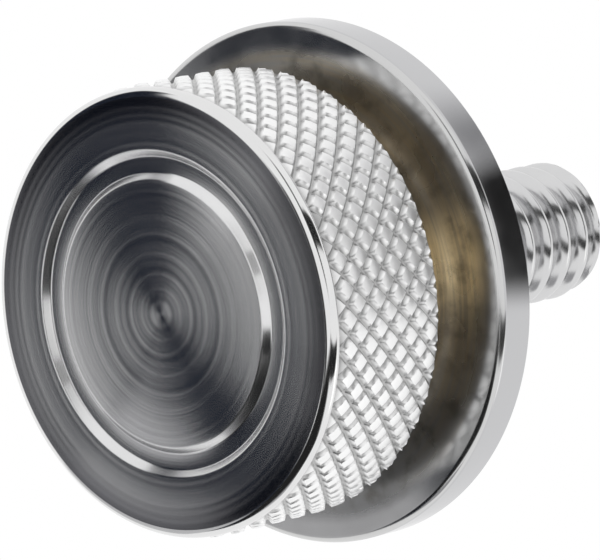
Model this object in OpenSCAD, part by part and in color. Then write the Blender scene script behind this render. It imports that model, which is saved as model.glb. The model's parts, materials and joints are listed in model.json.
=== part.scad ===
// Seat knob bolt: a plated steel thumb screw, turned from one bar, that clamps a seat bracket by hand.
// It stands on the face of its head with the stud pointing up. All sizes are in millimetres.

/* [Head] */
// Diameter of the plain land between the face and the knurl
head_d = 19.7; // [18:0.1:23]
// Radius of the rim between the face and the land
face_round = 0.4; // [0.2:0.05:0.8]
// Height of the plain land above the rim
land_h = 0.1; // [0.05:0.05:1]

/* [Face ring] */
// Diameter of the turned ring groove, measured at the middle of the groove
ring_d = 13; // [8:0.1:16]
// Width of the ring groove where it opens on the face
ring_w = 1.3; // [1:0.05:2.4]
// Depth of the ring groove, with walls at 45 degrees
ring_depth = 0.3; // [0.1:0.05:0.45]

/* [Knurl] */
// Number of diamonds around the head
knurl_count = 48; // [36:1:60]
// Number of whole diamonds along the band
knurl_rows = 5; // [3:1:7]
// Height of one diamond along the axis
knurl_pitch = 1.3; // [0.9:0.02:1.6]
// How far the flat tops stand above the land
crest_rise = 0.12; // [0.1:0.02:0.3]
// How far the grooves are sunk below the land
groove_sink = 0.14; // [0.12:0.02:0.4]
// Share of a diamond's width that its flat top takes
crest_share = 0.6; // [0.3:0.05:0.75]
// Chamfer on the crests at the end of the band towards the flange, at 45 degrees
crest_chamfer = 0.25; // [0.05:0.05:0.35]

/* [Neck] */
// Diameter of the neck between the head and the flange
neck_d = 15; // [11:0.1:18]
// Width of the gap between the head and the flange
neck_w = 2; // [1.2:0.1:4]
// Radius at both roots of the neck
neck_root = 0.4; // [0.1:0.05:0.55]

/* [Flange] */
// Diameter of the flange that bears on the bracket
flange_d = 23.3; // [21:0.1:28]
// Thickness of the flange
flange_h = 2; // [1.2:0.1:4]
// Radius of the flange's edge on the side of the head
flange_round = 0.35; // [0.2:0.05:0.9]
// Chamfer of the flange's edge on the side of the stud, at 45 degrees
seat_chamfer = 0.15; // [0.05:0.05:0.25]

/* [Stud] */
// Diameter of the plain run under the flange, and nominal diameter of the thread
stud_d = 6.35; // [5:0.05:8]
// Length of the stud from the flange to its end
stud_l = 15.9; // [8:0.1:30]
// Length of the plain run between the flange and the thread
plain_l = 2; // [1.5:0.1:5]
// Chamfer at the end of the stud, at 45 degrees
stud_chamfer = 0.6; // [0.2:0.05:1]

/* [Thread] */
// Rise of the right-hand thread in one turn
thread_pitch = 1.27; // [1.1:0.01:1.6]
// Depth from crest to root
thread_depth = 0.7; // [0.4:0.02:0.74]
// Width of the flat at the root
thread_root = 0.12; // [0.06:0.02:0.2]

/* [Hidden] */
$fn = 96;

// Radii
land_r = head_d / 2;
crest_r = land_r + crest_rise;
groove_r = land_r - groove_sink;
neck_r = neck_d / 2;
flange_r = flange_d / 2;
stud_r = stud_d / 2;

// The tops of the first row start halfway down the land's step, so the knurl rises out of the land
start_r = land_r - groove_sink / 2;

// The crests stay a little under the plain run, as a cut thread's do
crest_play = 0.03;
thread_r = stud_r - crest_play;
root_r = thread_r - thread_depth;

// Heights above the face
band_z = face_round + land_h;
head_h = band_z + knurl_rows * knurl_pitch;
flange_z = head_h + neck_w;
seat_z = flange_z + flange_h;
thread_z = seat_z + plain_l;
stud_top = seat_z + stud_l;

// Depth by which one turned length reaches into the next, so that they join as one solid
lap = 0.05;

// Spacing of the diamonds: each row is half a diamond above the last, and half a step further round
half_rows = 2 * knurl_rows;
row_h = knurl_pitch / 2;
step = 360 / knurl_count;

// A diamond's corners as steps from its middle: left, below, right and above, as seen from outside
CORNERS = [[-1, 0], [0, -1], [1, 0], [0, 1]];

// Knurl points
function on_ring(r, angle, z) = [r * cos(angle), r * sin(angle), z];
function row_z(i) = band_z + i * row_h + (i == 0 ? -lap : i == half_rows ? lap : 0);
function middle_angle(i, j) = (j + (i % 2) / 2) * step;
function in_band(z) = max(row_z(0), min(row_z(half_rows), z));
function top_r(i) = i == 0 ? start_r : crest_r;
function top_corner(i, j, corner) = on_ring(
    top_r(i),
    middle_angle(i, j) + corner.x * crest_share * step / 2,
    in_band(row_z(i) + corner.y * crest_share * row_h)
);

// Places in the knurl's list of points: groove crossings, then four corners of each flat top, then the caps
function cross_at(i, j) = i * knurl_count + (j + knurl_count) % knurl_count;
function top_at(i, j, k) = ((half_rows + 1 + 4 * i) * knurl_count) + 4 * j + k % 4;
function cap_at(end) = 5 * (half_rows + 1) * knurl_count + end;

// The groove crossings around a diamond, in the order of CORNERS
function crossings_of(i, j) = [
    cross_at(i, j - 1),
    cross_at(i - 1, j - 1 + i % 2),
    cross_at(i, j),
    cross_at(i + 1, j - 1 + i % 2)
];

// One flank of a diamond, from the groove up to its flat top
function flank(i, j, k) =
    let (groove = crossings_of(i, j))
    [
        [groove[k], top_at(i, j, k), top_at(i, j, k + 1)],
        [groove[k], top_at(i, j, k + 1), groove[(k + 1) % 4]]
    ];

// The flanks that a row has: the band's ends cut their diamonds in half
function flanks_in(i) = i == 0 ? [2, 3] : i == half_rows ? [0, 1] : [0, 1, 2, 3];

// The flat top of a diamond
function flat_top(i, j) = [
    [top_at(i, j, 0), top_at(i, j, 3), top_at(i, j, 2)],
    [top_at(i, j, 0), top_at(i, j, 2), top_at(i, j, 1)]
];

// The scalloped outline of a diamond on an end of the band, from its left crossing to its right one
function end_outline(i, j) =
    let (middle = i == 0 ? 1 : 3)
    [cross_at(i, j - 1), top_at(i, j, 0), top_at(i, j, middle), top_at(i, j, 2), cross_at(i, j)];

// One end of the band: a fan from the axis, turned to face outwards
function end_cap(i, j) =
    let (outline = end_outline(i, j))
    [
        for (n = [0 : 3])
            i == 0
            ? [cap_at(0), outline[n], outline[n + 1]]
            : [cap_at(1), outline[n + 1], outline[n]]
    ];

// Thread outline over one pitch, as height and radius: root, flank, crest and flank
flank_angle = 30;
flank_w = thread_depth * tan(flank_angle);
THREAD = [
    [0, root_r],
    [thread_root, root_r],
    [thread_root + flank_w, thread_r],
    [thread_pitch - flank_w, thread_r]
];

// The thread winds from inside the plain run to past the end of the stud, in steps of one side.
// The part turns in its lead set where round the axis the thread ends.
thread_sides = 24;
lead_turns = 2.63;
wind_z = thread_z - lead_turns * thread_pitch;
turns = ceil((stud_top - wind_z) / thread_pitch);
last_step = turns * thread_sides;

// Thread points: the outline at each step, and then the start of one more turn
function wind_point(k, n) = on_ring(
    THREAD[n][1],
    k * 360 / thread_sides,
    wind_z + k * thread_pitch / thread_sides + THREAD[n][0]
);
function wind_at(k, n) =
    n == 4 ? wind_at(k + thread_sides, 0)
    : k <= last_step ? 4 * k + n
    : 4 * (last_step + 1) + k - last_step - 1;
function wind_cap(end) = wind_at(last_step + thread_sides, 0) + 1 + end;

// One step of the thread along one side of its outline: a flat is one face, and a twisted flank is two
function wind_faces(k, n) =
    let (a = wind_at(k, n), b = wind_at(k, n + 1), c = wind_at(k + 1, n + 1), d = wind_at(k + 1, n))
    n % 2 == 0 ? [[a, b, c, d]] : [[a, b, c], [a, c, d]];

// What lies between a square corner at the origin and a round of radius r in the first quadrant
module root_fill(r) {
    difference() {
        square(r);
        translate([r, r]) circle(r);
    }
}

// Front of the head: face with its ring groove, rounded rim and plain land
module head_front() {
    ring_in = (ring_d - ring_w) / 2;
    ring_out = (ring_d + ring_w) / 2;
    rotate_extrude()
        difference() {
            square([land_r, band_z]);
            translate([land_r, 0]) mirror([1, 0]) root_fill(face_round);
            polygon([
                [ring_in - lap, -lap],
                [ring_in + ring_depth, ring_depth],
                [ring_out - ring_depth, ring_depth],
                [ring_out + lap, -lap]
            ]);
        }
}

// Lattice of diamonds with flat tops between two crossing sets of grooves, a lap longer than the band at each end
module diamond_lattice() {
    crossings = [
        for (i = [0 : half_rows])
            for (j = [0 : knurl_count - 1])
                on_ring(groove_r, middle_angle(i, j) + step / 2, row_z(i))
    ];
    tops = [
        for (i = [0 : half_rows])
            for (j = [0 : knurl_count - 1])
                for (corner = CORNERS)
                    top_corner(i, j, corner)
    ];
    caps = [[0, 0, row_z(0)], [0, 0, row_z(half_rows)]];
    faces = [
        for (i = [0 : half_rows])
            for (j = [0 : knurl_count - 1])
                each concat(
                    [for (k = flanks_in(i)) each flank(i, j, k)],
                    flat_top(i, j),
                    i == 0 || i == half_rows ? end_cap(i, j) : []
                )
    ];
    polyhedron(concat(crossings, tops, caps), faces, convexity = 10);
}

// The blank that the band is cut from: it ends the lattice square and chamfers its last crests
module band_blank() {
    blank_r = crest_r + crest_chamfer;
    rotate_extrude()
        polygon([
            [0, 0],
            [blank_r, 0],
            [blank_r, head_h - 2 * crest_chamfer],
            [crest_r - crest_chamfer, head_h],
            [0, head_h]
        ]);
}

// Knurled band of the head
module knurled_band() {
    intersection() {
        diamond_lattice();
        band_blank();
    }
}

// Half section of the neck, from inside the head to inside the flange
module neck_section() {
    translate([0, head_h - lap]) square([neck_r, neck_w + 2 * lap]);
    translate([neck_r, head_h]) root_fill(neck_root);
    translate([neck_r, flange_z]) mirror([0, 1]) root_fill(neck_root);
}

// Half section of the flange, round on the side of the head and chamfered on the side of the stud
module flange_section() {
    translate([0, flange_z])
        difference() {
            square([flange_r, flange_h]);
            translate([flange_r, 0]) mirror([1, 0]) root_fill(flange_round);
            translate([flange_r, flange_h])
                polygon([[0, 0], [-seat_chamfer, 0], [0, -seat_chamfer]]);
        }
}

// Half section of the stud's plain run, which tapers at 45 degrees to inside the thread's root
module plain_section() {
    taper = stud_r - root_r + lap;
    polygon([
        [0, seat_z - lap],
        [stud_r, seat_z - lap],
        [stud_r, thread_z],
        [stud_r - taper, thread_z + taper],
        [0, thread_z + taper]
    ]);
}

// Everything behind the head but the thread: neck, flange and plain run, turned as one section
module shank() {
    rotate_extrude() {
        neck_section();
        flange_section();
        plain_section();
    }
}

// Rod with the right-hand thread all along it, longer than the stud's thread at both ends
module threaded_rod() {
    wound = [
        for (k = [0 : last_step])
            for (n = [0 : 3])
                wind_point(k, n)
    ];
    next_turn = [for (k = [last_step + 1 : last_step + thread_sides]) wind_point(k, 0)];
    caps = [[0, 0, wind_z], [0, 0, wind_z + (turns + 1) * thread_pitch]];
    sides = [
        for (k = [0 : last_step - 1])
            for (n = [0 : 3])
                each wind_faces(k, n)
    ];
    ramps = [
        for (k = [0 : thread_sides - 1])
            each [
                [wind_cap(0), wind_at(k, 0), wind_at(k + 1, 0)],
                [wind_cap(1), wind_at(last_step + k + 1, 0), wind_at(last_step + k, 0)]
            ]
    ];
    steps = [
        for (n = [0 : 3])
            each [
                [wind_cap(0), wind_at(0, n + 1), wind_at(0, n)],
                [wind_cap(1), wind_at(last_step, n), wind_at(last_step, n + 1)]
            ]
    ];
    polyhedron(concat(wound, next_turn, caps), concat(sides, ramps, steps), convexity = 10);
}

// Threaded length of the stud: the rod from inside the plain run to the chamfered end
module thread() {
    intersection() {
        threaded_rod();
        rotate_extrude()
            polygon([
                [0, thread_z - thread_pitch],
                [stud_r, thread_z - thread_pitch],
                [stud_r, stud_top - stud_chamfer],
                [stud_r - stud_chamfer, stud_top],
                [0, stud_top]
            ]);
    }
}

// The whole bolt, one solid
module seat_knob_bolt() {
    color("silver")
        union() {
            head_front();
            knurled_band();
            shank();
            thread();
        }
}

seat_knob_bolt();
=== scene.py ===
"""Seat knob bolt: the dressed bolt, its studio and its camera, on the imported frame.

Sizes are in millimetres in the classes and become metres where a mesh or a material is made.
The bolt stands on the face of its head, with its axis along +Z and the stud pointing up.
"""
import json
import logging
import math
from dataclasses import dataclass, field
from enum import Enum, IntEnum
from typing import Any, Iterable, Sequence, Union

import bmesh
import bpy
from mathutils import Matrix, Vector


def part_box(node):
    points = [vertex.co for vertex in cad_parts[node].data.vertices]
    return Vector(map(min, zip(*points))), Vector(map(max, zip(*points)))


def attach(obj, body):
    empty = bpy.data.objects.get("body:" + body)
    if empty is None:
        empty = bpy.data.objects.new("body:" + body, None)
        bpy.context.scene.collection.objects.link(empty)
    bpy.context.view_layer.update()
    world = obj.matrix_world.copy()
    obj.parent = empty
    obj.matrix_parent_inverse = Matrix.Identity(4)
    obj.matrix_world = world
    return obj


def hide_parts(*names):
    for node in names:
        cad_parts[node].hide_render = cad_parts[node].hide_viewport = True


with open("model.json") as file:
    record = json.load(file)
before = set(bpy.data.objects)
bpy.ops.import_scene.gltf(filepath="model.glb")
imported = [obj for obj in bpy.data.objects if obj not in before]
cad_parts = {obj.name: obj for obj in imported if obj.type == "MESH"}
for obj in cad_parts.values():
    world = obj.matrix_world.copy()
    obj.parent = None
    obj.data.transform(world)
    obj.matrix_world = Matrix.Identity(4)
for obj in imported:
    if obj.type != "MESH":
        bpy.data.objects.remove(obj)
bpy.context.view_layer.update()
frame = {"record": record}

LOG = logging.getLogger("seat_knob_bolt")
MM = 0.001
NODE = "seat_knob_bolt"
BODY = "root"
ORIGIN = Vector((0.0, 0.0, 0.0))
AXIS = Vector((0.0, 0.0, 1.0))

Point = tuple[float, float]
Reach = tuple[float, float]
Colour = tuple[float, float, float]
Place = tuple[float, float, float]
Way = tuple[float, float, float]
Socket = bpy.types.NodeSocket
Value = Union[Socket, float, Sequence[float]]
Element = Union[bmesh.types.BMVert, bmesh.types.BMEdge, bmesh.types.BMFace]


def mount(name: str) -> dict[str, Any]:
    """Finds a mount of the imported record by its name."""
    return next(m for m in frame["record"]["mounts"] if m["name"] == name)


@dataclass(frozen=True)
class BoltSizes:
    """The bolt's sizes in millimetres, with the reach of the solid taken from the frame."""

    # The head's front: its plain land, rounded rim and ring groove.
    land_r: float = 9.85
    face_round: float = 0.4
    land_h: float = 0.1
    ring_r: float = 6.5
    ring_w: float = 1.3
    ring_depth: float = 0.3
    # The knurl, whose diamonds stand a little above the land and whose grooves lie below it.
    knurl_count: int = 48
    knurl_rows: int = 5
    knurl_pitch: float = 1.3
    crest_rise: float = 0.12
    groove_sink: float = 0.14
    crest_chamfer: float = 0.25
    # The neck and the flange.
    neck_r: float = 7.5
    neck_w: float = 2.0
    neck_root: float = 0.4
    flange_round: float = 0.35
    seat_chamfer: float = 0.15
    # The stud and its thread, which starts a few turns back inside the plain run.
    plain_l: float = 2.0
    stud_chamfer: float = 0.6
    thread_pitch: float = 1.27
    thread_depth: float = 0.7
    thread_root: float = 0.12
    crest_play: float = 0.03
    wind_back: float = 2.63
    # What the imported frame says.
    flange_r: float = field(default_factory=lambda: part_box(NODE)[1].x / MM)
    stud_top: float = field(default_factory=lambda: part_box(NODE)[1].z / MM)
    stud_r: float = field(default_factory=lambda: mount("stud")["dims"]["r_mm"])
    seat_z: float = field(default_factory=lambda: mount("seat_face")["pos_m"][2] / MM)

    @property
    def ring_in(self) -> float:
        """Radius of the ring groove's inner edge."""
        return self.ring_r - self.ring_w / 2

    @property
    def ring_out(self) -> float:
        """Radius of the ring groove's outer edge."""
        return self.ring_r + self.ring_w / 2

    @property
    def rim_r(self) -> float:
        """Radius at which the head's face goes over into its rounded rim."""
        return self.land_r - self.face_round

    @property
    def band_z(self) -> float:
        """Height at which the knurl starts."""
        return self.face_round + self.land_h

    @property
    def head_h(self) -> float:
        """Height of the head's far side."""
        return self.band_z + self.knurl_rows * self.knurl_pitch

    @property
    def flange_z(self) -> float:
        """Height of the flange's near side."""
        return self.head_h + self.neck_w

    @property
    def thread_z(self) -> float:
        """Height at which the thread starts to run out of the plain part of the stud."""
        return self.seat_z + self.plain_l

    @property
    def thread_r(self) -> float:
        """Radius at the thread's crests."""
        return self.stud_r - self.crest_play

    @property
    def groove_r(self) -> float:
        """Radius at the bottom of the knurl's grooves."""
        return self.land_r - self.groove_sink

    @property
    def crest_r(self) -> float:
        """Radius at the tops of the knurl's diamonds."""
        return self.land_r + self.crest_rise


def arc(centre: Point, radius: float, start: float, end: float, steps: int = 8) -> list[Point]:
    """Works out the points of an arc in an outline.

    Args:
        centre: the arc's centre, as radius and height.
        radius: the arc's radius.
        start: the angle at which it starts, in degrees.
        end: the angle at which it ends, in degrees.
        steps: how many straight steps it has.

    Returns:
        The points from start to end.
    """
    step = (end - start) / steps
    angles = [math.radians(start + step * i) for i in range(steps + 1)]
    return [(centre[0] + radius * math.cos(a), centre[1] + radius * math.sin(a)) for a in angles]


def put(name: str, bm: bmesh.types.BMesh, *materials: bpy.types.Material) -> bpy.types.Object:
    """Puts a bmesh into the scene as an object, and frees it.

    Args:
        name: the object's name.
        bm: the mesh, in metres.
        materials: what it is dressed with, in the order of its faces' material numbers.

    Returns:
        The object.
    """
    data = bpy.data.meshes.new(name)
    bm.to_mesh(data)
    bm.free()
    for material in materials:
        data.materials.append(material)
    made = bpy.data.objects.new(name, data)
    bpy.context.scene.collection.objects.link(made)
    return made


class Mesh:
    """A bmesh in millimetres that ends as one piece of the bolt.

    Points within MERGE of each other become one, a cut takes points within ON_PLANE as lying on it,
    open edges within NEAR of a height belong to its rim, and edges over SHARP are creases.
    """

    TURN_STEPS = 192
    MERGE = 0.002
    ON_PLANE = 1e-5
    NEAR = 0.01
    SHARP = math.radians(40)

    def __init__(self) -> None:
        """Starts with nothing."""
        self.bm = bmesh.new()

    def everything(self) -> list[Element]:
        """Gives all points, edges and faces."""
        return [*self.bm.verts, *self.bm.edges, *self.bm.faces]

    def chain(self, points: Iterable[Point]) -> list[Element]:
        """Adds an open outline in the XZ plane.

        Args:
            points: the outline's points, as radius and height.

        Returns:
            The new points and edges.
        """
        verts = [self.bm.verts.new((r, 0.0, z)) for r, z in points]
        edges = [self.bm.edges.new(pair) for pair in zip(verts, verts[1:])]
        return [*verts, *edges]

    def weld(self) -> None:
        """Merges doubled points and turns the faces outwards."""
        bmesh.ops.remove_doubles(self.bm, verts=self.bm.verts, dist=self.MERGE)
        bmesh.ops.recalc_face_normals(self.bm, faces=self.bm.faces)

    def spin(
        self, geom: Sequence[Element], angle: float, steps: int,
        climb: float = 0.0, merge: bool = False, copies: bool = False,
    ) -> None:
        """Spins a part of the mesh round the bolt's axis and welds the result.

        Args:
            geom: what is spun.
            angle: how far it goes round, in radians.
            steps: how many steps that takes.
            climb: how far it rises with each step.
            merge: whether the last step closes on the first.
            copies: whether each step leaves a copy, in place of a skin from step to step.
        """
        bmesh.ops.spin(
            self.bm, geom=geom, cent=ORIGIN, axis=AXIS, dvec=AXIS * climb,
            angle=angle, steps=steps, use_merge=merge, use_duplicate=copies,
        )
        self.weld()

    def turn(self, points: Iterable[Point]) -> None:
        """Turns an outline, given as radius and height, once round the bolt's axis."""
        self.spin(self.chain(points), math.tau, self.TURN_STEPS, merge=True)

    def cut(self, height: float, keep_below: bool, axis: Vector = AXIS) -> None:
        """Cuts the mesh off at a height along an axis.

        Args:
            height: where the plane lies along the axis.
            keep_below: whether what lies below the plane stays.
            axis: the plane's normal.
        """
        bmesh.ops.bisect_plane(
            self.bm, geom=self.everything(), dist=self.ON_PLANE, plane_co=axis * height, plane_no=axis,
            clear_outer=keep_below, clear_inner=not keep_below,
        )

    def rim(self, height: float) -> list[bmesh.types.BMEdge]:
        """Finds the open edges at the top of the mesh, which lies at a given height."""
        low = height - self.NEAR
        return [e for e in self.bm.edges if e.is_boundary and min(v.co.z for v in e.verts) > low]

    def soften(self, offset: float, segments: int = 3) -> None:
        """Rounds every sharp edge a little, as a plated edge is.

        Args:
            offset: width of the rounding.
            segments: how many strips it has.
        """
        sharp = [e for e in self.bm.edges if e.is_manifold and e.calc_face_angle(0.0) > self.SHARP]
        bmesh.ops.bevel(
            self.bm, geom=sharp, offset=offset, offset_type="OFFSET", affect="EDGES",
            segments=segments, profile=0.5, material=-1, clamp_overlap=True,
        )

    def finish(self, name: str, *materials: bpy.types.Material) -> bpy.types.Object:
        """Makes the piece, in metres, riding on the bolt's body in place of its solid.

        Args:
            name: the piece's name.
            materials: what it is dressed with, in the order of its faces' material numbers.

        Returns:
            The piece.
        """
        for edge in self.bm.edges:
            edge.smooth = edge.calc_face_angle(0.0) < self.SHARP
        for face in self.bm.faces:
            face.smooth = True
        bmesh.ops.scale(self.bm, vec=(MM, MM, MM), verts=self.bm.verts)
        piece = put(name, self.bm, *materials)
        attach(piece, BODY)
        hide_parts(NODE)
        return piece


class Nodes:
    """Builds a material's nodes.

    A Mix node has its share and its two colours at MIX_INPUTS and its colour out at MIX_OUTPUT.
    Most of a noise lies within NOISE_REACH. Turning marks change MARKS_AROUND times on their way
    round, there are MARKS_ACROSS of them to the metre, and MARKS_REACH sets their contrast.
    """

    MIX_INPUTS = (0, 6, 7)
    MIX_OUTPUT = 2
    NOISE_REACH: Reach = (0.3, 0.7)
    MARKS_AROUND = 2.5
    MARKS_ACROSS = 5000.0
    MARKS_REACH: Reach = (0.35, 0.65)

    def __init__(self, name: str) -> None:
        """Starts a material with one Principled shader.

        Args:
            name: the material's name.
        """
        self.material = bpy.data.materials.new(name)
        self.material.use_nodes = True
        self.tree = self.material.node_tree
        self.shader = self.tree.nodes["Principled BSDF"]
        self.place = self.add("ShaderNodeTexCoord").outputs["Object"]

    def add(self, kind: str, **settings: Any) -> bpy.types.Node:
        """Adds a node.

        Args:
            kind: the node's type.
            settings: its properties.

        Returns:
            The node.
        """
        node = self.tree.nodes.new(kind)
        for key, value in settings.items():
            setattr(node, key, value)
        return node

    def feed(self, socket: Socket, value: Value) -> None:
        """Links an output to a socket, or sets the socket's own value.

        Args:
            socket: the socket that takes it.
            value: an output socket, or a plain value.
        """
        if isinstance(value, Socket):
            self.tree.links.new(value, socket)
        else:
            socket.default_value = value

    def dress(self, **values: Value) -> None:
        """Feeds the shader's sockets, each under its name with _ for a space."""
        for name, value in values.items():
            self.feed(self.shader.inputs[name.replace("_", " ")], value)

    def math(self, operation: str, *values: Value) -> Socket:
        """Adds a Math node.

        Args:
            operation: what it does.
            values: its inputs.

        Returns:
            Its output.
        """
        node = self.add("ShaderNodeMath", operation=operation)
        for socket, value in zip(node.inputs, values):
            self.feed(socket, value)
        return node.outputs[0]

    def vector(self, operation: str, *values: Value) -> Socket:
        """Adds a Vector Math node.

        Args:
            operation: what it does.
            values: its inputs.

        Returns:
            Its vector, or its number where the operation gives one.
        """
        node = self.add("ShaderNodeVectorMath", operation=operation)
        for socket, value in zip(node.inputs, values):
            self.feed(socket, value)
        return node.outputs["Value" if operation in ("LENGTH", "DOT_PRODUCT") else "Vector"]

    def ramp(self, value: Value, reach: Reach, at_low: float = 0.0, at_high: float = 1.0) -> Socket:
        """Maps a number smoothly from one range to another.

        Args:
            value: the number.
            reach: where the first range starts and ends.
            at_low: the result at its start.
            at_high: the result at its end.

        Returns:
            The mapped number.
        """
        node = self.add("ShaderNodeMapRange", interpolation_type="SMOOTHSTEP")
        for socket, part in zip(node.inputs, (value, *reach, at_low, at_high)):
            self.feed(socket, part)
        return node.outputs["Result"]

    def mix(self, share: Value, first: Value, second: Value) -> Socket:
        """Mixes two colours.

        Args:
            share: how much of the second colour there is.
            first: the first colour.
            second: the second colour.

        Returns:
            The mixed colour.
        """
        node = self.add("ShaderNodeMix", data_type="RGBA")
        for index, part in zip(self.MIX_INPUTS, (share, first, second)):
            self.feed(node.inputs[index], part if isinstance(part, (Socket, float)) else (*part, 1.0))
        return node.outputs[self.MIX_OUTPUT]

    def noise(self, place: Value, scale: float, layers: float = 3.0) -> Socket:
        """Adds a Noise texture.

        Args:
            place: the coordinates that it reads.
            scale: its scale, in cells to the metre.
            layers: how many finer layers it has.

        Returns:
            Its value.
        """
        node = self.add("ShaderNodeTexNoise", noise_dimensions="3D")
        for socket, part in (("Vector", place), ("Scale", scale), ("Detail", layers)):
            self.feed(node.inputs[socket], part)
        return node.outputs["Fac"]

    def split(self) -> tuple[Socket, Socket, Socket]:
        """Takes a place on the bolt apart.

        Returns:
            The direction outwards from the axis, the distance from it and the height, in metres.
        """
        flat = self.vector("MULTIPLY", self.place, (1.0, 1.0, 0.0))
        parts = self.add("ShaderNodeSeparateXYZ")
        self.feed(parts.inputs[0], self.place)
        return self.vector("NORMALIZE", flat), self.vector("LENGTH", flat), parts.outputs["Z"]

    def marks(self, way: Socket, distance: Socket) -> Socket:
        """Makes marks that run round the axis, as turning leaves them.

        Args:
            way: the direction outwards from the axis.
            distance: the distance from the axis.

        Returns:
            The marks, from 0 to 1.
        """
        line = self.add("ShaderNodeCombineXYZ")
        self.feed(line.inputs["Z"], self.math("MULTIPLY", distance, self.MARKS_ACROSS))
        around = self.vector("MULTIPLY", way, (self.MARKS_AROUND, self.MARKS_AROUND, 0.0))
        return self.ramp(self.noise(self.vector("ADD", around, line.outputs[0]), 1.0), self.MARKS_REACH)

    def cover(self, share: Value, tone: Value) -> None:
        """Covers a share of the shader's tone with another tone."""
        socket = self.shader.inputs["Base Color"]
        self.feed(socket, self.mix(share, socket.links[0].from_socket, tone))

    def dull(self, amount: Value) -> None:
        """Adds an amount to the shader's roughness."""
        socket = self.shader.inputs["Roughness"]
        self.feed(socket, self.math("ADD", socket.links[0].from_socket, amount))

    def blend(self, share: Value, first: Socket, second: Socket) -> None:
        """Makes the material's surface a blend of two shaders.

        Args:
            share: how much of the second shader there is.
            first: the first shader.
            second: the second shader.
        """
        node = self.add("ShaderNodeMixShader")
        for socket, part in zip(node.inputs, (share, first, second)):
            self.feed(socket, part)
        self.feed(self.tree.nodes["Material Output"].inputs["Surface"], node.outputs[0])


@dataclass(frozen=True)
class PlatedFinish:
    """Bright plating with faint clouding in its tone and its polish."""

    name: str
    tone: Colour = (0.69, 0.69, 0.69)
    cloud: Colour = (0.62, 0.62, 0.63)
    bright: float = 0.09
    matt: float = 0.15
    cloud_scale: float = 420.0

    def polish(self, nodes: Nodes, pattern: Socket) -> None:
        """Lets a noise lead the plating from bright to matt."""
        nodes.dress(Roughness=nodes.ramp(pattern, nodes.NOISE_REACH, self.bright, self.matt))

    def start(self) -> Nodes:
        """Starts the plating's nodes.

        Returns:
            The nodes, with tone and polish set.
        """
        nodes = Nodes(self.name)
        cloud = nodes.noise(nodes.place, self.cloud_scale)
        nodes.dress(Metallic=1.0, Base_Color=nodes.mix(cloud, self.tone, self.cloud))
        self.polish(nodes, cloud)
        return nodes

    def make(self) -> bpy.types.Material:
        """Makes the material."""
        return self.start().material


@dataclass(frozen=True)
class RimFinish(PlatedFinish):
    """The brightest plating, on the rounded rim of the head."""

    tone: Colour = (0.8, 0.8, 0.8)
    cloud: Colour = (0.74, 0.74, 0.74)
    bright: float = 0.08
    matt: float = 0.13


@dataclass(frozen=True, kw_only=True)
class TurnedFinish(PlatedFinish):
    """Plating over a faced surface whose fine rings spread a reflection across them.

    From band_r to rim_r its colour darkens towards the tone of the outer band, a painted dark reflection.
    """

    band_r: float
    rim_r: float
    tone: Colour = (0.8, 0.8, 0.8)
    cloud: Colour = (0.73, 0.73, 0.74)
    bright: float = 0.16
    matt: float = 0.24
    # The outer band's tone, a painted dark reflection on the face.
    band: Colour = (0.24, 0.24, 0.255)
    fine_scale: float = 3200.0
    fine_share: float = 0.5
    coarse_scale: float = 900.0
    layers: float = 2.0
    ring_depth: float = 0.008
    spread: float = 0.92

    def make(self) -> bpy.types.Material:
        """Makes the material.

        Returns:
            The material.
        """
        nodes = self.start()
        way, distance, _ = nodes.split()
        line = nodes.add("ShaderNodeCombineXYZ")
        nodes.feed(line.inputs["X"], distance)
        fine = nodes.noise(line.outputs[0], self.fine_scale, self.layers)
        coarse = nodes.noise(line.outputs[0], self.coarse_scale, self.layers)
        bump = nodes.add("ShaderNodeBump")
        nodes.feed(bump.inputs["Strength"], 1.0)
        nodes.feed(bump.inputs["Distance"], self.ring_depth * MM)
        height = nodes.math("ADD", nodes.math("MULTIPLY", fine, self.fine_share), coarse)
        nodes.feed(bump.inputs["Height"], height)
        nodes.dress(Normal=bump.outputs[0], Anisotropic=self.spread, Tangent=way)
        self.polish(nodes, fine)
        # Painted dark reflection: the face darkens towards its rim.
        nodes.cover(nodes.ramp(distance, (self.band_r * MM, self.rim_r * MM)), self.band)
        return nodes.material


@dataclass(frozen=True, kw_only=True)
class KnurlFinish(PlatedFinish):
    """Plating whose tone is raised on the knurl as a painted highlight, with painted shade in its grooves.
    """

    groove_r: float
    top_r: float
    # The raised tone is a painted highlight that makes the knurl brighter than the rest of the plating.
    tone: Colour = (0.97, 0.97, 0.97)
    cloud: Colour = (0.92, 0.92, 0.92)
    bright: float = 0.3
    matt: float = 0.4
    # Painted shade in the knurl's grooves.
    groove: Colour = (0.48, 0.48, 0.48)

    def make(self) -> bpy.types.Material:
        """Makes the material.

        Returns:
            The material.
        """
        nodes = self.start()
        _, distance, _ = nodes.split()
        # Painted shade: darker from the tops of the knurl down into its grooves.
        nodes.cover(nodes.ramp(distance, (self.groove_r * MM, self.top_r * MM), 1.0, 0.0), self.groove)
        return nodes.material


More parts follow.
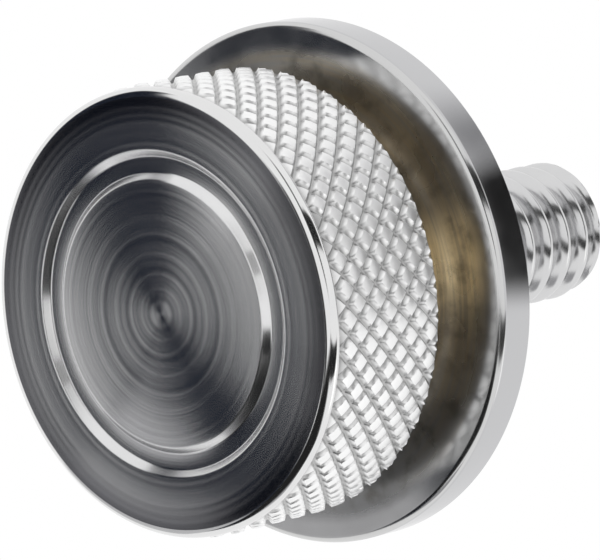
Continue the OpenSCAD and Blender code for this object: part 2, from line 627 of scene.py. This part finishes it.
@dataclass(frozen=True, kw_only=True)
class RecessFinish(PlatedFinish):
    """Plating with a painted tint of light and shade deep between the head and the flange.

    Below warm_z the tint shows up to warm_r and is gone at bright_r. It is painted reflection and shade
    that varies by direction: warm towards warm_way, a painted golden highlight towards gold_way and
    painted shade elsewhere, with dark mottling. Outside wall_r is the flange's edge, and above mark_z
    its seat, with turning marks. The tone between them is even, so it is its own cloud.
    """

    warm_r: float
    bright_r: float
    wall_r: float
    warm_z: float
    mark_z: float
    tone: Colour = (0.62, 0.62, 0.62)
    cloud: Colour = (0.62, 0.62, 0.62)
    wall: Colour = (0.55, 0.55, 0.56)
    seat: Colour = (0.52, 0.52, 0.53)
    seat_mark: Colour = (0.4, 0.4, 0.41)
    # Painted shade in the recess, where neither the warm nor the golden tint lies.
    painted_recess_shade: Colour = (0.5, 0.5, 0.5)
    # A painted warm reflection towards warm_way.
    warm: Colour = (0.6, 0.54, 0.44)
    warm_way: Way = (-0.42, -0.91, 0.0)
    warm_reach: Reach = (-0.3, 0.7)
    # A painted golden highlight towards gold_way.
    painted_gold_highlight: Colour = (1.0, 0.91, 0.73)
    gold_way: Way = (0.07, -1.0, 0.0)
    gold_reach: Reach = (0.93, 1.0)
    streak: float = 0.6
    dark: Colour = (0.26, 0.24, 0.21)
    dark_reach: Reach = (0.45, 0.75)
    dark_share: float = 0.7
    dark_scale: float = 900.0
    dark_layers: float = 5.0
    haze: float = 0.26
    gloss: float = 0.13

    def painted_recess_tint(self, nodes: Nodes, way: Socket, mark: Socket) -> Socket:
        """Mixes the recess's painted tint of reflection, golden highlight and shade.

        Args:
            nodes: the plating's nodes.
            way: the direction outwards from the axis.
            mark: the turning marks.

        Returns:
            The tone.
        """
        streak = nodes.math("ADD", nodes.math("MULTIPLY", mark, self.streak), 1.0 - self.streak)
        tint: Value = self.painted_recess_shade
        for toward, reach, tone in (
            (self.warm_way, self.warm_reach, self.warm),
            (self.gold_way, self.gold_reach, self.painted_gold_highlight),
        ):
            side = nodes.ramp(nodes.vector("DOT_PRODUCT", way, toward), reach)
            tint = nodes.mix(nodes.math("MULTIPLY", side, streak), tint, tone)
        mottle = nodes.noise(nodes.place, self.dark_scale, self.dark_layers)
        return nodes.mix(nodes.ramp(mottle, self.dark_reach, 0.0, self.dark_share), tint, self.dark)

    def make(self) -> bpy.types.Material:
        """Makes the material.

        Returns:
            The material.
        """
        nodes = self.start()
        way, distance, height = nodes.split()
        mark = nodes.marks(way, distance)
        below = nodes.math("LESS_THAN", height, self.warm_z * MM)
        above = nodes.math("GREATER_THAN", height, self.mark_z * MM)
        inside = nodes.ramp(distance, (self.warm_r * MM, self.bright_r * MM), 1.0, 0.0)
        deep = nodes.math("MULTIPLY", below, inside)
        nodes.cover(nodes.math("GREATER_THAN", distance, self.wall_r * MM), self.wall)
        nodes.cover(above, nodes.mix(mark, self.seat, self.seat_mark))
        # Painted reflection and shade deep between the head and the flange.
        nodes.cover(deep, self.painted_recess_tint(nodes, way, mark))
        nodes.dull(nodes.math("MULTIPLY", nodes.math("MAXIMUM", deep, above), self.haze - self.gloss))
        nodes.dull(nodes.math("MULTIPLY", below, self.gloss - self.bright))
        return nodes.material


@dataclass(frozen=True, kw_only=True)
class StudFinish(PlatedFinish):
    """Plating on the thread, with turning marks on the stud's end, above end_z."""

    end_z: float
    bright: float = 0.14
    matt: float = 0.2
    end: Colour = (0.5, 0.5, 0.51)
    end_mark: Colour = (0.38, 0.38, 0.39)
    haze: float = 0.26

    def make(self) -> bpy.types.Material:
        """Makes the material.

        Returns:
            The material.
        """
        nodes = self.start()
        way, distance, height = nodes.split()
        above = nodes.math("GREATER_THAN", height, self.end_z * MM)
        nodes.cover(above, nodes.mix(nodes.marks(way, distance), self.end, self.end_mark))
        nodes.dull(nodes.math("MULTIPLY", above, self.haze - self.bright))
        return nodes.material


class FrontMaterial(IntEnum):
    """The material numbers on the head's front."""

    FACE = 0
    RIM = 1


@dataclass
class HeadFront:
    """The faced front of the head, with its ring groove, rounded rim and plain land.

    The edge is the width at which its sharp edges are rounded, and band_gap is how far from the ring
    groove the painted dark reflection on the face starts.
    """

    sizes: BoltSizes
    edge: float = 0.06
    band_gap: float = 0.75

    def build(self) -> Mesh:
        """Turns the front's outline.

        Returns:
            The mesh, with its face and its rim under their own material numbers.
        """
        s = self.sizes
        mesh = Mesh()
        mesh.turn([
            (0.0, 0.0),
            (s.ring_in / 2, 0.0),
            (s.ring_in, 0.0),
            (s.ring_in + s.ring_depth, s.ring_depth),
            (s.ring_out - s.ring_depth, s.ring_depth),
            (s.ring_out, 0.0),
            *arc((s.rim_r, s.face_round), s.face_round, -90, 0),
            (s.land_r, s.band_z),
            (s.groove_r - s.groove_sink, s.band_z),
        ])
        mesh.soften(self.edge)
        for face in mesh.bm.faces:
            on_rim = face.calc_center_median().xy.length > s.rim_r
            face.material_index = FrontMaterial.RIM if on_rim else FrontMaterial.FACE
        return mesh

    def dress(self) -> bpy.types.Object:
        """Makes the piece, with its face and its rim each in its own finish.

        Returns:
            The piece.
        """
        s = self.sizes
        face = TurnedFinish("turned_chrome", band_r=s.ring_out + self.band_gap, rim_r=s.rim_r)
        finishes = {FrontMaterial.FACE: face, FrontMaterial.RIM: RimFinish("rim_chrome")}
        return self.build().finish("turned_face", *(finishes[number].make() for number in FrontMaterial))


@dataclass
class KnurlBand:
    """The knurled band of the head: rows of low diamonds with soft tops between crossing grooves.

    The stops are a diamond's outline from its middle to the bottom of a groove, as shares of its
    half width and of its height. The band is first laid out flat, with its height along UNROLLED,
    and trimmed there, with a little to spare at its start. The diamonds reach their full height
    over run_in, and the far end closes at sink below the grooves.
    """

    UNROLLED = Vector((0.0, 1.0, 0.0))

    sizes: BoltSizes
    stops: Sequence[Point] = ((0.0, 1.0), (0.62, 0.9), (0.87, 0.1), (1.0, 0.0))
    run_in: float = 0.35
    sink: float = 0.1
    spare: float = 1e-4

    def place(self, vert: bmesh.types.BMVert, row: int) -> None:
        """Moves a point of a square grid to its place on the unrolled band, as angle, height and rise.

        Args:
            vert: the point, with x and y from -1 to 1 across the diamond's sides.
            row: which row of diamonds it belongs to.
        """
        s = self.sizes
        stops = [self.stops[round(abs(c) * (len(self.stops) - 1))] for c in vert.co.xy]
        across, along = (math.copysign(stop[0], c) for stop, c in zip(stops, vert.co.xy))
        rise = stops[0][1] * stops[1][1]
        turn = (row % 2 + (across - along) / 2) / 2
        height = s.band_z + (row + (across + along) / 2) * s.knurl_pitch / 2
        vert.co = (turn * math.tau / s.knurl_count, height, rise)

    def roll(self, vert: bmesh.types.BMVert) -> None:
        """Rolls a point of the unrolled band round the bolt's axis.

        Args:
            vert: the point, as angle, height and rise.
        """
        s = self.sizes
        angle, height, rise = vert.co
        start = min(1.0, max(0.0, (height - s.band_z) / self.run_in))
        low = s.land_r - s.groove_sink / 2
        top = low + (s.crest_r - low) * start
        radius = s.groove_r + (top - s.groove_r) * rise
        radius = min(radius, s.crest_r - s.crest_chamfer + s.head_h - height)
        vert.co = (radius * math.cos(angle), radius * math.sin(angle), height)

    def build(self) -> Mesh:
        """Makes one column of diamonds, rolls it on the head and repeats it round the axis.

        Returns:
            The mesh, closed at its far end.
        """
        s = self.sizes
        mesh = Mesh()
        lines = 2 * (len(self.stops) - 1)
        for row in range(2 * s.knurl_rows + 1):
            grid = bmesh.ops.create_grid(mesh.bm, x_segments=lines, y_segments=lines, size=1.0)
            for vert in grid["verts"]:
                self.place(vert, row)
        mesh.cut(s.band_z - self.spare, False, self.UNROLLED)
        mesh.cut(s.head_h, True, self.UNROLLED)
        for vert in mesh.bm.verts:
            self.roll(vert)
        around = s.knurl_count - 1
        mesh.spin(mesh.everything(), math.tau * around / s.knurl_count, around, copies=True)
        self.close_end(mesh)
        return mesh

    def close_end(self, mesh: Mesh) -> None:
        """Closes the band's far end with a flat ring that runs in under the grooves.

        Args:
            mesh: the rolled band.
        """
        s = self.sizes
        made = bmesh.ops.extrude_edge_only(mesh.bm, edges=mesh.rim(s.head_h))
        for vert in made["geom"]:
            if isinstance(vert, bmesh.types.BMVert):
                vert.co.xy = vert.co.xy.normalized() * (s.groove_r - self.sink)
        mesh.weld()

    def dress(self) -> bpy.types.Object:
        """Makes the piece in its finish.

        Returns:
            The piece.
        """
        s = self.sizes
        finish = KnurlFinish("knurl_chrome", groove_r=s.groove_r, top_r=s.land_r + s.crest_rise / 2)
        return self.build().finish("knurl_band", finish.make())


@dataclass
class NeckAndFlange:
    """The head's far side, the neck with its rounded roots and the flange.

    The warm tint of the recess, which is painted reflection and shade, is full up to warm_in from the
    flange's edge and ends at bright_in from it. The finish of the edge starts wall_in inside it, and
    that of each flat side at skin from it. The outline runs in under its neighbours by sink.
    """

    sizes: BoltSizes
    sink: float = 0.1
    warm_in: float = 1.55
    bright_in: float = 0.75
    wall_in: float = 0.03
    skin: float = 0.05

    def build(self) -> Mesh:
        """Turns the outline from under the knurl to the foot of the stud.

        Returns:
            The mesh.
        """
        s = self.sizes
        root = s.neck_root
        mesh = Mesh()
        mesh.turn([
            (s.groove_r - self.sink, s.head_h),
            *arc((s.neck_r + root, s.head_h + root), root, 270, 180),
            *arc((s.neck_r + root, s.flange_z - root), root, 180, 90),
            *arc((s.flange_r - s.flange_round, s.flange_z + s.flange_round), s.flange_round, -90, 0),
            (s.flange_r, s.seat_z - s.seat_chamfer),
            (s.flange_r - s.seat_chamfer, s.seat_z),
            (s.stud_r - 2 * self.sink, s.seat_z),
        ])
        return mesh

    def dress(self) -> bpy.types.Object:
        """Makes the piece in its finish.

        Returns:
            The piece.
        """
        s = self.sizes
        finish = RecessFinish(
            "flange_chrome", warm_r=s.flange_r - self.warm_in, bright_r=s.flange_r - self.bright_in,
            wall_r=s.flange_r - self.wall_in, warm_z=s.flange_z + self.skin, mark_z=s.seat_z - self.skin,
        )
        return self.build().finish("neck_and_flange", finish.make())


@dataclass
class ThreadedStud:
    """The stud with its plain run, its coarse right-hand thread and its chamfered end.

    A flare under 1 widens the thread's crests. The stud runs into the flange by sink, and the finish
    of its end starts at skin from it.
    """

    sizes: BoltSizes
    flare: float = 0.9
    steps_round: int = 72
    profile_steps: int = 16
    sink: float = 0.1
    skin: float = 0.05

    def radius(self, share: float) -> float:
        """Gives the thread's radius at a share of its pitch, from the start of a root.

        Args:
            share: the share of the pitch, from 0 to 1.

        Returns:
            The radius in millimetres.
        """
        s = self.sizes
        root = s.thread_root / s.thread_pitch
        up = 1 - abs(2 * max(0.0, share - root) / (1 - root) - 1)
        return s.thread_r - s.thread_depth * (1 - math.sin(up * math.pi / 2) ** self.flare)

    def limits(self, height: float) -> Reach:
        """Gives the least and the greatest radius that the stud has at a height.

        Args:
            height: the height above the head's face.

        Returns:
            The radius of the plain run and its taper, and the radius within the chamfered end.
        """
        s = self.sizes
        taper = max(0.0, height - s.thread_z)
        chamfer = max(0.0, height - (s.stud_top - s.stud_chamfer))
        return s.stud_r - taper, s.stud_r - chamfer

    def build(self) -> Mesh:
        """Winds one pitch of the thread up the stud, and ends it square with a chamfer.

        Returns:
            The mesh.
        """
        s = self.sizes
        mesh = Mesh()
        start = s.thread_z - s.wind_back * s.thread_pitch
        turns = math.ceil((s.stud_top - start) / s.thread_pitch)
        shares = [i / self.profile_steps for i in range(self.profile_steps + 1)]
        outline = mesh.chain([(self.radius(t), start + t * s.thread_pitch) for t in shares])
        climb = s.thread_pitch / self.steps_round
        mesh.spin(outline, math.tau * turns, self.steps_round * turns, climb=climb)
        mesh.cut(s.seat_z - self.sink, False)
        mesh.cut(s.stud_top, True)
        for vert in mesh.bm.verts:
            least, most = self.limits(vert.co.z)
            vert.co.xy = vert.co.xy.normalized() * min(most, max(least, vert.co.xy.length))
        bmesh.ops.contextual_create(mesh.bm, geom=mesh.rim(s.stud_top))
        mesh.weld()
        return mesh

    def dress(self) -> bpy.types.Object:
        """Makes the piece in its finish."""
        finish = StudFinish("thread_chrome", end_z=self.sizes.stud_top - self.skin)
        return self.build().finish("threaded_stud", finish.make())


@dataclass(frozen=True)
class Sight:
    """The photograph's view: how the bolt's axis lies to the camera, and where its face is.

    The axis points away from the camera, swung to the right and raised by these degrees. The middle
    of the face lies face_right, face_down and face_away from the camera.
    """

    swing: float = 42.18
    rise: float = 8.29
    face_right: float = -5.998
    face_down: float = 1.481
    face_away: float = 258.781
    focal_px: float = 6000.0
    frame_px: float = 600.0
    sensor: float = 36.0
    clip: Reach = (10.0, 10000.0)

    def axes(self) -> tuple[Vector, Vector, Vector]:
        """Works out how the camera is turned.

        Returns:
            The camera's right, up and back directions in the bolt's frame.
        """
        swing = math.radians(self.swing)
        rise = math.radians(self.rise)
        right_z = math.sin(swing) * math.cos(rise)
        up_z = math.sin(rise)
        away_z = math.cos(swing) * math.cos(rise)
        level = math.sqrt(1 - away_z ** 2)
        away = Vector((0, level, away_z))
        right = Vector((up_z / level, -right_z * away_z / level, right_z))
        return right, (-away).cross(right), -away

    def camera(self) -> bpy.types.Object:
        """Makes the camera.

        Returns:
            The camera.
        """
        right, up, back = self.axes()
        data = bpy.data.cameras.new("camera")
        data.sensor_fit = "HORIZONTAL"
        data.sensor_width = self.sensor
        data.lens = self.focal_px * self.sensor / self.frame_px
        data.clip_start, data.clip_end = (end * MM for end in self.clip)
        camera = bpy.data.objects.new("camera", data)
        place = (back * self.face_away + up * self.face_down - right * self.face_right) * MM
        turn = Matrix((right, up, back)).transposed()
        camera.matrix_world = Matrix.Translation(place) @ turn.to_4x4()
        bpy.context.scene.collection.objects.link(camera)
        bpy.context.scene.camera = camera
        return camera


class Shade(Enum):
    """What a reflection card shows to bright metal, as light per channel."""

    NAVY = (0.012, 0.015, 0.024)
    DARK = (0.02, 0.02, 0.02)
    GREY = (0.35, 0.35, 0.36)
    PALE = (0.6, 0.6, 0.61)
    BRIGHT = (1.5, 1.5, 1.48)


@dataclass(frozen=True)
class Card:
    """A soft-edged card that bright metal reflects, and that the camera and the light don't see.

    Its directions are given in the photograph's view, as right, up and back towards the camera. Its
    halves are angles in degrees, seen from the bolt, and soft is the share of them that fades out.
    """

    name: str
    shade: Shade
    toward: Way
    along: Way
    half_width: float
    half_length: float
    soft: float
    distance: float

    def reach(self, angle: float) -> float:
        """Turns half an angle of view from the bolt into a length on the card, in metres."""
        return self.distance * MM * math.tan(math.radians(angle))

    def dress(self, centre: Vector, side: Vector, along: Vector) -> bpy.types.Material:
        """Makes the card's light, which fades out towards its edges.

        Args:
            centre: the card's middle.
            side: the direction of its width.
            along: the direction of its length.

        Returns:
            The material.
        """
        nodes = Nodes(self.name)
        place = nodes.vector("SUBTRACT", nodes.place, tuple(centre))
        share: Value = 1.0
        for way, half in ((side, self.reach(self.half_width)), (along, self.reach(self.half_length))):
            off = nodes.math("ABSOLUTE", nodes.vector("DOT_PRODUCT", place, tuple(way)))
            share = nodes.math("MULTIPLY", share, nodes.ramp(off, (half * (1 - self.soft), half), 1.0, 0.0))
        light = nodes.add("ShaderNodeEmission")
        nodes.feed(light.inputs["Color"], (*self.shade.value, 1.0))
        nodes.blend(share, nodes.add("ShaderNodeBsdfTransparent").outputs[0], light.outputs[0])
        return nodes.material

    def make(self, sight: Sight) -> bpy.types.Object:
        """Makes the card, facing the bolt.

        Args:
            sight: the view in which its directions are given.

        Returns:
            The card.
        """
        view = Matrix(sight.axes()).transposed()
        way = (view @ Vector(self.toward)).normalized()
        side = (view @ Vector(self.along)).cross(way).normalized()
        along = way.cross(side)
        centre = way * self.distance * MM
        bm = bmesh.new()
        bmesh.ops.create_grid(bm, x_segments=1, y_segments=1, size=1.0)
        halves = (self.reach(self.half_width), self.reach(self.half_length), 1.0)
        bmesh.ops.scale(bm, vec=halves, verts=bm.verts)
        bmesh.ops.rotate(bm, matrix=Matrix((side, along, way)).transposed(), verts=bm.verts)
        bmesh.ops.translate(bm, vec=centre, verts=bm.verts)
        card = put(self.name, bm, self.dress(centre, side, along))
        card.visible_camera = False
        card.visible_diffuse = False
        card.visible_shadow = False
        return card


@dataclass(frozen=True)
class Lamp:
    """A square soft lamp that points at the bolt and that bright metal doesn't show."""

    name: str
    place: Place
    size: float
    watts: float

    def make(self) -> bpy.types.Object:
        """Makes the lamp.

        Returns:
            The lamp.
        """
        data = bpy.data.lights.new(self.name, "AREA")
        data.size = self.size * MM
        data.energy = self.watts
        lamp = bpy.data.objects.new(self.name, data)
        lamp.location = Vector(self.place) * MM
        lamp.rotation_euler = (-lamp.location).to_track_quat("-Z", "Y").to_euler()
        lamp.visible_glossy = False
        bpy.context.scene.collection.objects.link(lamp)
        return lamp


@dataclass
class Studio:
    """The floor that the bolt stands on, the world behind it, its lamp and its reflection cards.

    The camera and bright metal see a white world, and fill is the strength of its soft light on
    everything else.
    """

    sight: Sight
    floor_r: float = 900.0
    floor_steps: int = 96
    hole_r: float = 9.2
    floor_drop: float = 0.02
    paper: Colour = (0.86, 0.86, 0.87)
    grain: Colour = (0.84, 0.84, 0.85)
    grain_scale: float = 60.0
    paper_rough: float = 0.9
    fill: float = 0.45
    key: Lamp = Lamp("key", place=(-250.0, -250.0, 420.0), size=260.0, watts=3.0)
    cards: Sequence[Card] = (
        # A dark upright strip that the face mirrors: it gives the turning marks their dark fans.
        Card(
            "card_face", Shade.NAVY, toward=(-0.974, -0.212, 0.055), along=(-0.219, 0.968, -0.118),
            half_width=16.0, half_length=64.0, soft=0.35, distance=50.0,
        ),
        # A pale patch at the lower left, which lightens the lower part of the face.
        Card(
            "card_table", Shade.PALE, toward=(-0.78, -0.604, -0.172), along=(-0.218, 0.913, -0.345),
            half_width=16.6, half_length=15.3, soft=0.2, distance=44.0,
        ),
        # Dark cards close to the rim of the head, under it and in front of it.
        Card(
            "card_rim", Shade.DARK, toward=(-0.19, -0.76, 0.56), along=(0.5, 0.0, 0.3),
            half_width=30.0, half_length=36.0, soft=0.3, distance=24.0,
        ),
        Card(
            "card_edge", Shade.DARK, toward=(-0.702, -0.152, 0.697), along=(-0.212, 0.977, 0.0),
            half_width=14.4, half_length=26.0, soft=0.4, distance=19.5,
        ),
        # A grey patch below the bolt.
        Card(
            "card_ground", Shade.GREY, toward=(-0.13, -0.98, 0.15), along=(1.0, 0.0, 0.0),
            half_width=12.0, half_length=14.0, soft=0.5, distance=120.0,
        ),
        # Two long dark strips to the right of the camera, one above it and one below.
        Card(
            "card_above", Shade.DARK, toward=(0.435, 0.469, 0.769), along=(0.888, 0.298, -0.351),
            half_width=10.0, half_length=45.0, soft=0.35, distance=330.0,
        ),
        Card(
            "card_below", Shade.DARK, toward=(0.45, -0.48, 0.75), along=(0.922, 0.037, -0.385),
            half_width=9.0, half_length=45.0, soft=0.35, distance=330.0,
        ),
        # A dark strip over the camera and a dark card at the right, both near the bolt.
        Card(
            "card_lens", Shade.DARK, toward=(0.073, 0.401, 0.912), along=(-0.37, 0.855, -0.36),
            half_width=7.0, half_length=32.0, soft=0.5, distance=54.8,
        ),
        Card(
            "card_right", Shade.DARK, toward=(0.962, 0.263, -0.07), along=(0.0, 0.0, 1.0),
            half_width=21.8, half_length=9.5, soft=0.5, distance=45.6,
        ),
        # A grey patch at the upper right and a bright one at the lower right.
        Card(
            "card_upper", Shade.GREY, toward=(0.72, 0.66, -0.22), along=(0.69, 0.15, 0.70),
            half_width=16.0, half_length=20.0, soft=1.0, distance=225.0,
        ),
        Card(
            "card_low", Shade.BRIGHT, toward=(0.85, -0.5, 0.15), along=(0.69, 0.15, 0.70),
            half_width=12.0, half_length=16.0, soft=0.6, distance=240.0,
        ),
    )

    def dress_floor(self) -> bpy.types.Material:
        """Makes the floor's paper, clear when seen from beneath.

        Returns:
            The material.
        """
        nodes = Nodes("floor_paper")
        grain = nodes.noise(nodes.place, self.grain_scale)
        nodes.dress(Base_Color=nodes.mix(grain, self.paper, self.grain), Roughness=self.paper_rough)
        clear = nodes.add("ShaderNodeBsdfTransparent")
        side = nodes.add("ShaderNodeNewGeometry")
        nodes.blend(side.outputs["Backfacing"], nodes.shader.outputs[0], clear.outputs[0])
        return nodes.material

    def floor(self) -> bpy.types.Object:
        """Makes the floor, open under the head's face.

        Returns:
            The floor.
        """
        bm = bmesh.new()
        bmesh.ops.create_circle(bm, cap_ends=False, segments=self.floor_steps, radius=self.hole_r * MM)
        outer = bmesh.ops.extrude_edge_only(bm, edges=bm.edges[:])
        verts = [v for v in outer["geom"] if isinstance(v, bmesh.types.BMVert)]
        grow = self.floor_r / self.hole_r
        bmesh.ops.scale(bm, vec=(grow, grow, 1), verts=verts)
        bmesh.ops.translate(bm, vec=(0, 0, -self.floor_drop * MM), verts=bm.verts)
        bmesh.ops.recalc_face_normals(bm, faces=bm.faces)
        if bm.faces[:][0].normal.z < 0:
            bmesh.ops.reverse_faces(bm, faces=bm.faces)
        floor = put("floor", bm, self.dress_floor())
        floor.visible_glossy = False
        return floor

    def world(self) -> None:
        """Makes the world: white to the camera and to bright metal, and a soft fill to the rest."""
        world = bpy.data.worlds.new("studio")
        bpy.context.scene.world = world
        world.use_nodes = True
        tree = world.node_tree
        light = tree.nodes["Background"]
        path = tree.nodes.new("ShaderNodeLightPath")
        seen = path.outputs["Is Camera Ray"]
        for name in ("Is Glossy Ray", "Is Transmission Ray"):
            either = tree.nodes.new("ShaderNodeMath")
            either.operation = "MAXIMUM"
            tree.links.new(seen, either.inputs[0])
            tree.links.new(path.outputs[name], either.inputs[1])
            seen = either.outputs[0]
        level = tree.nodes.new("ShaderNodeMapRange")
        level.inputs["To Min"].default_value = self.fill
        level.inputs["To Max"].default_value = 1.0
        tree.links.new(seen, level.inputs["Value"])
        tree.links.new(level.outputs["Result"], light.inputs["Strength"])
        light.inputs["Color"].default_value = (1, 1, 1, 1)

    def build(self) -> None:
        """Makes the whole studio."""
        self.floor()
        self.world()
        self.key.make()
        for card in self.cards:
            card.make(self.sight)
        bpy.context.scene.view_settings.view_transform = "Standard"


def main() -> None:
    """Builds the bolt piece by piece, then the studio and the camera."""
    logging.basicConfig(level=logging.INFO, format="%(name)s: %(message)s")
    sizes = BoltSizes()
    for part in (HeadFront(sizes), KnurlBand(sizes), NeckAndFlange(sizes), ThreadedStud(sizes)):
        piece = part.dress()
        LOG.info("%s: %d faces", piece.name, len(piece.data.polygons))
    sight = Sight()
    Studio(sight).build()
    sight.camera()


if __name__ == "__main__":
    main()
